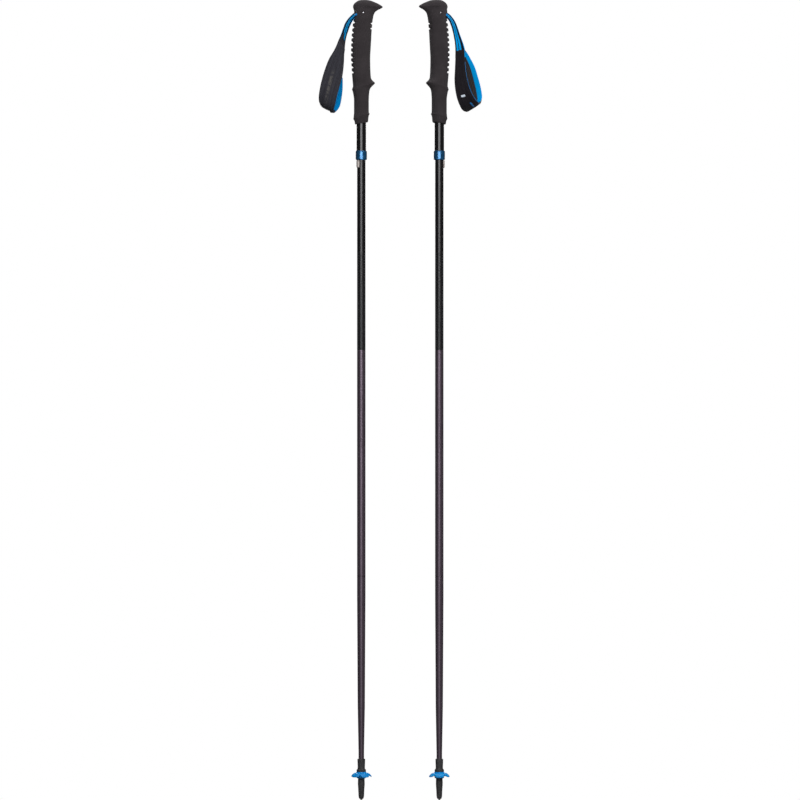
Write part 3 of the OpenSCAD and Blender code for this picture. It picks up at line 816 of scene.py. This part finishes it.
# Outer and inner edge of the wrist pad, from its top at the front, round the bottom of the
# hand loop and up to its top at the back
PAD = {
    "left": [((33.2, 60, -0.2), (24.4, 74, -7.0)), ((40.4, 75, -3.4), (25.4, 82, -8.4)),
             ((48.4, 89, -7.4), (26.0, 96, -11)), ((54.5, 105, -11.5), (28.0, 114, -14.5)),
             ((58.9, 120, -15), (31.8, 129, -17.6)), ((62.3, 136, -18.2), (36.0, 145.5, -19.6)),
             ((63.6, 147, -17.5), (39.0, 157, -18)), ((62.9, 154, -13), (40.8, 164, -13)),
             ((60.2, 158.6, -5), (41.4, 167.6, -5)), ((57.5, 159.6, 4), (39.5, 168, 4)),
             ((55.0, 155.5, 13), (36.5, 164.5, 13)), ((54.0, 148, 17.5), (33.2, 158, 18)),
             ((54.0, 137, 18.2), (30.8, 147, 19.2)), ((53.0, 120, 14.8), (29.0, 132, 17.2)),
             ((50.0, 105, 11.3), (28.6, 115, 13.8)), ((45.5, 90, 7.4), (27.4, 97, 9.8)),
             ((40.0, 76, 4), (25.8, 79, 5.6))],
    "right": [((37.6, 74, -3.6), (24.2, 77.5, -7.6)), ((38.0, 88, -7.2), (23.8, 92, -10.4)),
              ((39.0, 101, -10.4), (23.2, 106, -13.2)), ((40.8, 115, -13.8), (22.6, 120, -16.2)),
              ((44.4, 130, -17), (23.5, 134, -18.8)), ((49.0, 142, -18.2), (26.2, 148, -19.4)),
              ((53.4, 149.4, -16.6), (29.6, 157.4, -18)), ((57.0, 153, -12), (33.2, 164.2, -12.6)),
              ((59.4, 154.6, -4), (37.2, 167, -4)), ((61.4, 154, 5), (40.6, 167.2, 5)),
              ((63.2, 151, 12.6), (42.6, 165, 12.8)), ((64.0, 145.6, 17), (40.8, 156, 18.6)),
              ((62.0, 132, 17.2), (37.4, 141.6, 19)), ((57.6, 115.5, 13.8), (34.0, 124, 15.4)),
              ((52.2, 99, 10), (31.0, 107, 11)), ((45.2, 85.5, 6.6), (28.0, 92, 7.6)),
              ((39.0, 75, 3.8), (25.4, 79, 4.6))],
}


def hung(pole, points):
    """Strap points as (out, y, height)."""
    points = np.array(points, float)
    return np.stack([points[:, 0], points[:, 2], pole.top - points[:, 1]], axis=1)


def band_between(pole, rows, count):
    edges = np.array(rows, float)
    both = flowing(edges.reshape(len(edges), 6), count)
    loop_middle = (45, 0, pole.top - 125)
    return Band(hung(pole, both[:, :3]), hung(pole, both[:, 3:]), loop_middle)


def strap_webbing(pole, material):
    """Two layers of webbing from the pin in the head to the front and back of the pad."""
    rows = np.array(WEBBING[pole.side], float)
    under = rows.copy()
    turned = smooth((rows[:, :, 1] - 40) / 35)
    under[:, :, 2] = rows[:, :, 2] * (1 - 2 * turned) + 2.0 * turned
    hinge = Vector(JOINTS[pole.name("strap_swing")]["pos_m"])
    layers = (("upper", rows, (0, 1), 0), ("under", under, (0.05, 0.86), -1.65))
    for layer, points, shares, rise in layers:
        band = band_between(pole, points, 110)
        piece = band.cloth(pole.name(f"strap_webbing_{layer}"), pole.strap, 1.5, shares, rise, edge=14)
        fitted(pole, piece, material, body=None)
        pole.name("handle")
        pole.name("strap")
        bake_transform(piece)
        if layer == "upper":
            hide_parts(pole.name("strap_webbing"))


def pad_form(share, along):
    """Crowned pad with stitched channels along it."""
    crown = 1 - 0.35 * np.abs(2 * share - 1) ** 3
    channels = sum(0.16 * hill(share - at, 0.018) for at in (0.1, 0.27, 0.5, 0.73, 0.9))
    ripple = 0.03 * np.sin(along * 0.55 + 7 * share) * np.sin(along * 0.21 + 2)
    return crown - channels + ripple, 0.25 * np.sin(along * 0.17 + 5 * share) * (0.3 + share * (1 - share))


def wrist_pad(pole, shell, lining, edging, seam, seam_thread, label):
    band = band_between(pole, PAD[pole.side], 260)
    outer = band.cloth(pole.name("wrist_pad_shell"), pole.strap, 3.2, edge=7, shape=pad_form, across=60)
    fitted(pole, outer, shell, stands_for="wrist_pad")
    inner = band.cloth(pole.name("wrist_pad_lining"), pole.strap, 1.2, shares=(0.05, 0.95), rise=-1.5,
                       edge=10, across=40, shape=lambda share, along: (1, 0.15 * np.sin(share * 40)))
    fitted(pole, inner, lining, stands_for="pad_lining")

    # Blue edging down the back half, on the edge that is on the right in the front view
    right_hand_edge = pole.out > 0
    shares = (-0.035, 0.27) if right_hand_edge else (1.035, 0.72)
    rows = band.part(0.54, 0.985 if right_hand_edge else 0.84)
    edge_band = band.cloth(pole.name("pad_edging"), pole.strap, 1.4, shares=shares, rise=-1.9,
                           rows=rows, edge=6)
    fitted(pole, edge_band, edging)

    seam_share = 0.0 if right_hand_edge else 1.0
    front = band.part(0.1 if right_hand_edge else 0.3, 0.5)
    line = band.at(seam_share, 0.1)[front]
    piping = tube(pole.name("pad_piping"), line, 0.34, pole.strap)
    fitted(pole, piping, seam)

    rows = band.part(0.03, 0.97)
    for tag, share, rise in (("outer", 0.055, 1.32), ("inner", 0.945, 1.32)):
        line = band.at(share, rise)[rows]
        piece = stitches(pole.name(f"pad_stitches_{tag}"), line, band.normal[rows], pole.strap)
        fitted(pole, piece, seam_thread)
    if pole.side == "right":
        pad_details_right(pole, band, seam, label)
    else:
        pull_tab(pole, shell)


def near_depth(pole, band, depth, reach):
    """Rows of the band's front half within reach of a depth."""
    middle = pole.top - (band.a[:, 2] + band.b[:, 2]) / 2
    front = band.along < 0.5 * band.along[-1]
    return front & (np.abs(middle - depth) < reach)


def pad_details_right(pole, band, seam, label):
    """A plain woven label near the bottom of the pad, and the end of a blue tape beside it."""
    patch = band.cloth(pole.name("pad_label"), pole.strap, 0.35, shares=(0.46, 0.72), rise=1.8,
                       rows=near_depth(pole, band, 144.5, 2.1), edge=10, across=16)
    fitted(pole, patch, label)
    tape = band.cloth(pole.name("pad_tape_end"), pole.strap, 0.8, shares=(0.31, 0.40), rise=1.7,
                      rows=near_depth(pole, band, 157.8, 2.8), edge=8, across=12)
    fitted(pole, tape, seam)


def pull_tab(pole, material):
    """The folded end of the strap's tape, which hangs under the pad."""
    middle = np.array([43.2, 0.0, pole.top - 167.0])
    half = np.array([3.9, 3.2, 2.3])
    rings = []
    for t in np.linspace(-1, 1, 15):
        size = max(1 - abs(t) ** 6, 0.04) ** 0.5
        for a in 2 * math.pi * np.arange(32) / 32:
            y = squared(math.cos(a), 0.5) * size
            z = squared(math.sin(a), 0.5) * size * (1 - 0.12 * t)
            rings.append(middle + half * np.array([t, y, z]))
    attributes = {key: np.array(rings)[:, k] * MM for k, key in enumerate(("across", "share", "along"))}
    piece = mesh_piece(pole.name("pull_tab"), rings, capped(15, 32), pole.strap, 60, attributes)
    fitted(pole, piece, material)


# ---- Round pieces ----


def collar(pole, material):
    low, high = pole.height("collar")
    r = pole.reach("collar")
    bore = pole.reach("upper_tube") + 0.02
    lip = pole.reach("upper_shaft") + 0.4
    profile = [(low, lip, 0.2), (low, r - 0.15, 1.3), (low + 2.4, r, 0.8), (high - 2.4, r, 0.8),
               (high, r - 0.25, 1.6), (high, bore, 0.3), (low + 6, bore, 0), (low + 6, bore - 0.02, 0),
               (low + 1, lip, 0)]
    piece = lathe(pole.name("collar_shell"), rounded(profile, 6), pole.own, steps=120, crease=50)
    fitted(pole, piece, material, "handle", "collar")


def release_button(pole, material):
    """A sprung button with a rounded face, standing out of its hole in the shaft."""
    low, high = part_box(pole.name("release_button"))
    foot_spare = 1.8
    tall = (high.z - low.z) / MM - foot_spare
    wide = 5.4
    middle = ((low.z + high.z) / 2 - pole.tip.z) / MM
    face_r = 8.35
    base_r = 5.2
    around = 64
    rings = []
    for share, inset in ((0.0, 0), (0.45, 0), (0.7, 0.02), (0.85, 0.25), (0.94, 0.6), (0.985, 1.1),
                         (1.0, 1.7), (1.0, 2.1)):
        w, h = wide / 2 - inset, tall / 2 - inset
        ring = []
        for k in range(around):
            a = 2 * math.pi * (k + 0.5) / around
            y = w * squared(math.cos(a), 0.45)
            z = h * squared(math.sin(a), 0.3)
            r = base_r + (face_r - base_r) * share
            ring.append((math.sqrt(max(r * r - y * y, 1)), y, middle + z))
        rings.append(ring)
    matrix = pole.own @ Matrix.Rotation(pole.button_turn(), 4, "Z")
    piece = mesh_piece(pole.name("release_button_cap"), rings, capped(len(rings), around), matrix, 40)
    fitted(pole, piece, material, "button", "release_button")


def tip_sleeve(pole, material):
    """Flexible tip: socket for the shaft, flange, core for the basket and tapered nozzle."""
    low, high = pole.height("tip_sleeve")
    hub_high = pole.height("basket")[1]
    socket = 4.17
    carbide_r = pole.reach("carbide_tip") + 0.02
    profile = [(low, carbide_r, 0.1), (low, 2.9, 0.8), (3.4, 3.7, 1.2), (6, 4.2, 1.5), (11.5, 4.4, 1),
               (18, 4.75, 1), (23, 5.1, 1), (27.4, 5.15, 0.3), (27.8, 5.0, 0.1), (28.3, 5.0, 0.1),
               (28.6, 5.05, 0.2)]
    for at in (29.5, 30.9, 32.3):
        profile += [(at, 5.05, 0.1), (at + 0.2, 4.85, 0.1), (at + 0.5, 4.85, 0.1), (at + 0.7, 5.05, 0.1)]
    profile += [(hub_high + 0.06, 5.05, 0), (hub_high + 0.06, 7.0, 0.5),
                (hub_high + 3.3, 7.05, 0.7), (hub_high + 4.4, 5.6, 0.9), (hub_high + 6.5, 5.42, 0.8),
                (high - 3, 5.75, 1), (high - 0.1, 5.8, 0.7), (high, 5.0, 0.4), (high, socket, 0.3),
                (38.0, socket, 0), (38.0, 3, 0), (30, 2.2, 0), (8, 2.2, 0), (8, carbide_r, 0)]
    piece = lathe(pole.name("tip_nozzle"), rounded(profile, 4), pole.own, steps=96, crease=38)
    fitted(pole, piece, material, "lower_shaft", "tip_sleeve")


BASKET_LOBES = 5


def basket(pole, material):
    """A hub with a skirt of drooping petals."""
    low, high = pole.height("basket")
    reach = pole.reach_round("basket")
    bore, hub_r, notch_r = 5.11, 7.5, 10.6
    around = 240
    angles = 2 * math.pi * np.arange(around) / around
    from_middle = np.abs((angles * BASKET_LOBES / (2 * math.pi) + 0.5) % 1 - 0.5) * 2
    petal = (1 - from_middle ** 3.4) ** 0.55
    rim = notch_r + (reach - 0.15 - notch_r) * petal
    rings = []

    def ring(r, h):
        r, h = np.broadcast_to(r, around), np.broadcast_to(h, around)
        rings.append(np.stack([r * np.cos(angles), r * np.sin(angles), h], axis=1))

    def skirt(share):
        """Middle of the skirt at a share of the way from the hub to the rim."""
        r = hub_r - 0.3 + (rim - hub_r + 0.3) * share
        out = np.clip(r - hub_r, 0, 99) / (reach - hub_r)
        cupped = 0.9 * (1 - petal) * share
        return r, high - 2.9 + 0.7 * np.sin(np.pi * np.clip(out, 0, 1)) - 4.6 * out ** 1.9 - cupped

    def face(share, side):
        r, h = skirt(share)
        half = 1.35 - 0.4 * share
        edge = math.sqrt(max(1 - (max(share - 0.9, 0) / 0.1) ** 2, 0.0))
        ring(r, np.maximum(h + side * half * edge, low + 0.05))

    ring(bore, low + 0.4)
    ring(bore, high - 0.2)
    ring(bore + 0.3, high)
    ring(hub_r - 0.6, high)
    ring(hub_r - 0.2, high - 0.12)
    ring(hub_r, high - 0.5)
    ring(hub_r, high - 1.3)
    shares = list(np.linspace(0.08, 0.9, 16)) + [0.93, 0.955, 0.975, 0.99]
    for share in shares:
        face(share, 1)
    face(1.0, 1)
    for share in reversed(shares):
        face(share, -1)
    ring(hub_r - 0.3, low + 2.2)
    ring(hub_r - 0.5, low + 0.6)
    ring(hub_r - 0.9, low)
    ring(bore + 0.3, low)
    faces = grid_faces(len(rings), around, True)
    piece = mesh_piece(pole.name("basket_skirt"), rings, faces, pole.own, 50)
    fitted(pole, piece, material, "basket", "basket")


# ---- CAD nodes that stay ----


def paint(pole, pieces, material):
    """Gives CAD nodes that keep their shape a material of their own."""
    for piece in pieces:
        node = frame["nodes"][pole.name(piece)]
        node.data.materials.clear()
        node.data.materials.append(material)


# ---- Studio ----


def glow(name, colour):
    """A surface that only gives off light."""
    s = Surface(name)
    s.nodes.remove(s.shader)
    s.shader = s.node("Emission", {"Color": (*colour, 1)})
    s.links.new(s.shader.outputs[0], s.nodes["Material Output"].inputs["Surface"])
    return s


def only_seen_by(piece, camera=False, glossy=False):
    piece.visible_camera = camera
    piece.visible_glossy = glossy
    piece.visible_diffuse = False
    piece.visible_transmission = False
    piece.visible_shadow = False
    piece.visible_volume_scatter = False


def backdrop():
    """A white room round the object, which only the camera sees."""
    white = glow("backdrop_white", (1, 1, 1)).material
    dome, disc = bmesh.new(), bmesh.new()
    bmesh.ops.create_icosphere(dome, subdivisions=3, radius=30)
    bmesh.ops.create_circle(disc, segments=64, radius=20, cap_ends=True)
    room = []
    for name, shape in (("backdrop", dome), ("floor", disc)):
        mesh = bpy.data.meshes.new(name)
        shape.to_mesh(mesh)
        shape.free()
        mesh.materials.append(white)
        room.append(added(name, mesh))
        only_seen_by(room[-1], camera=True)
    under_the_tips = 0.5 * MM
    room[1].location.z = cad_low.z - under_the_tips


# Height that the panels end at, and how fast they darken downwards
PANEL_LOW, PANEL_HIGH = -1.4, 0.34
PANEL_FALLOFF = 4.0


def panel(name, azimuth, distance, width, top_strength, bottom_strength):
    """A tall soft panel that shows in glossy surfaces, brighter at its top."""
    s = glow(name, (0.975, 0.975, 1))
    height = s.node("SeparateXYZ", {"Vector": s.place()}).outputs[2]
    span = {"Value": height, "From Min": PANEL_LOW, "From Max": PANEL_HIGH}
    share = s.math("POWER", s.node("MapRange", span).outputs[0], PANEL_FALLOFF)
    strengths = {"Value": share, "To Min": bottom_strength, "To Max": top_strength}
    s.feed(s.shader.inputs["Strength"], s.node("MapRange", strengths).outputs[0])
    turn = math.radians(azimuth)
    centre = Vector((distance * math.sin(turn), -distance * math.cos(turn), 0))
    side = Vector((math.cos(turn), math.sin(turn), 0)) * width / 2
    low, high = Vector((0, 0, PANEL_LOW)), Vector((0, 0, PANEL_HIGH))
    corners = [centre - side + low, centre + side + low, centre + side + high, centre - side + high]
    mesh = bpy.data.meshes.new(name)
    mesh.from_pydata([tuple(c) for c in corners], [], [(0, 1, 2, 3)])
    mesh.materials.append(s.material)
    piece = added(name, mesh)
    only_seen_by(piece, glossy=True)


def lamp(name, azimuth, elevation, distance, size, power, glossy=False):
    """A large soft lamp that faces the middle of the poles."""
    light = bpy.data.lights.new(name, "AREA")
    light.shape = "RECTANGLE"
    light.size, light.size_y = size
    light.energy = power
    piece = added(name, light)
    a, e = math.radians(azimuth), math.radians(elevation)
    away = Vector((math.sin(a) * math.cos(e), -math.cos(a) * math.cos(e), math.sin(e)))
    piece.location = CENTRE + away * distance
    piece.rotation_euler = away.to_track_quat("Z", "Y").to_euler()
    piece.visible_camera = False
    piece.visible_glossy = glossy


CENTRE = Vector(((cad_low.x + cad_high.x) / 2, 0, (cad_low.z + cad_high.z) / 2))


def studio():
    scene = bpy.context.scene
    world = bpy.data.worlds.new("studio")
    world.use_nodes = True
    sky = world.node_tree.nodes["Background"].inputs
    sky["Color"].default_value = (1, 1, 1, 1)
    sky["Strength"].default_value = 0.03
    scene.world = world
    scene.view_settings.view_transform = "Standard"
    scene.view_settings.look = "None"
    backdrop()
    panel("front_panel", 1, 2.6, 2.2, 10.5, 0.55)
    panel("back_panel", 181, 2.6, 0.9, 8.0, 0.6)
    lamp("key", 12, 25, 3.0, (2.4, 2.4), 78)
    lamp("left_fill", -75, 10, 3.0, (2, 2.4), 15)
    lamp("right_fill", 80, 15, 3.0, (2, 2.4), 27)
    lamp("back_left", 150, 20, 3.0, (2, 2.4), 42)
    lamp("back_right", 215, 20, 3.0, (2, 2.4), 42)
    lamp("top", 0, 88, 2.6, (2.2, 2.2), 36, glossy=True)
    lamp("under", 0, -60, 2.6, (2.2, 2.2), 9)


def camera():
    """Level with the middle of the poles, from far off, taking in their whole height."""
    half_height = (cad_high.z - cad_low.z) / 2
    away = 7.5
    view = bpy.data.cameras.new("camera")
    view.sensor_width = 36
    view.lens = view.sensor_width * away / (2 * half_height)
    piece = added("camera", view)
    poles_middle = (MOUNTS["left_hand"]["pos_m"][0] + MOUNTS["right_hand"]["pos_m"][0]) / 2
    to_the_left = 0.45 * MM
    piece.location = (poles_middle - to_the_left, -away, (cad_low.z + cad_high.z) / 2)
    piece.rotation_euler = (math.radians(90), 0, 0)
    bpy.context.scene.camera = piece


# ---- The pair ----


# CAD nodes that stay, by their finish
INNER_PIECES = {
    "steel": ["button_spring"],
    "ring": ["ferrule_b"],
    "aluminium": ["nose_a", "nose_b", "cord_anchor", "cord_stop"],
    "cord": ["upper_cord", "middle_cord", "lower_cord"],
    "black_plastic": ["grip_core", "strap_wedge"],
    "white_plastic": ["guide_bush", "shaft_plug"],
    "carbide": ["carbide_tip"],
    "anchor": ["strap_anchor"],
}


def dress(pole, shared):
    """Builds every visible piece of one pole and paints its CAD nodes."""
    grip(pole, shared["foam"])
    strap_pin(pole, shared["steel"])
    strap_webbing(pole, webbing(pole))
    wrist_pad(pole, pad_cloth(pole), lining_cloth(pole), blue_cloth(pole), shared["blue_thread"],
              shared["dark_thread"], shared["label"])
    collar(pole, blue_anodised(pole))
    release_button(pole, shared["button"])
    tip_sleeve(pole, shared["tip_plastic"])
    basket(pole, shared["basket"])
    black, plum = "black", "plum"
    paint(pole, ["upper_tube"], tube_finish(pole, "handle", black, 0.13, 0.19))
    shaft = tube_finish(pole, "shaft", black, 0.18, 0.24, (676, 820.5), duller_low_down=0.14)
    paint(pole, ["upper_shaft", "ferrule_a"], shaft)
    paint(pole, ["middle_shaft"], tube_finish(pole, "middle", plum, 0.2, 0.26, (528, 674)))
    paint(pole, ["lower_shaft"], tube_finish(pole, "lower", plum, 0.2, 0.26))
    for finish, pieces in INNER_PIECES.items():
        paint(pole, pieces, shared[finish])


def main():
    shared = {
        "foam": foam(),
        "blue_thread": thread("blue_thread", (0.0, 0.10, 0.32), (0.01, 0.2, 0.5)),
        "dark_thread": thread("dark_thread", (0.015, 0.014, 0.016), (0.04, 0.038, 0.04)),
        "label": thread("label_thread", (0.42, 0.47, 0.55), (0.62, 0.68, 0.76)),
        "cord": thread("tension_cord", (0.32, 0.3, 0.26), (0.62, 0.6, 0.54)),
        "anchor": thread("anchor_webbing", (0.0, 0.14, 0.42), (0.004, 0.24, 0.6)),
        "button": metal("button_metal", (0.46, 0.40, 0.37), (0.60, 0.55, 0.53), 0.35, 0.5, share=0.45),
        "steel": metal("steel", (0.62, 0.62, 0.64), (0.8, 0.8, 0.82), 0.22, 0.34),
        "aluminium": metal("aluminium", (0.5, 0.51, 0.53), (0.66, 0.67, 0.7), 0.25, 0.4),
        "ring": metal("ferrule_ring", (0.12, 0.10, 0.12), (0.16, 0.13, 0.16), 0.4, 0.52),
        "carbide": metal("carbide", (0.28, 0.28, 0.3), (0.42, 0.43, 0.45), 0.35, 0.5),
        "black_plastic": plastic("black_plastic", (0.012, 0.012, 0.013), (0.025, 0.025, 0.026), 0.5, 0.65),
        "white_plastic": plastic("white_plastic", (0.6, 0.6, 0.56), (0.74, 0.74, 0.7), 0.35, 0.5),
        "tip_plastic": plastic("tip_plastic", (0.028, 0.027, 0.028), (0.046, 0.045, 0.047), 0.5, 0.66),
        "basket": basket_plastic(),
    }
    for pole in (Pole("left", -1, 0), Pole("right", 1, -10)):
        dress(pole, shared)
    studio()
    camera()


main()
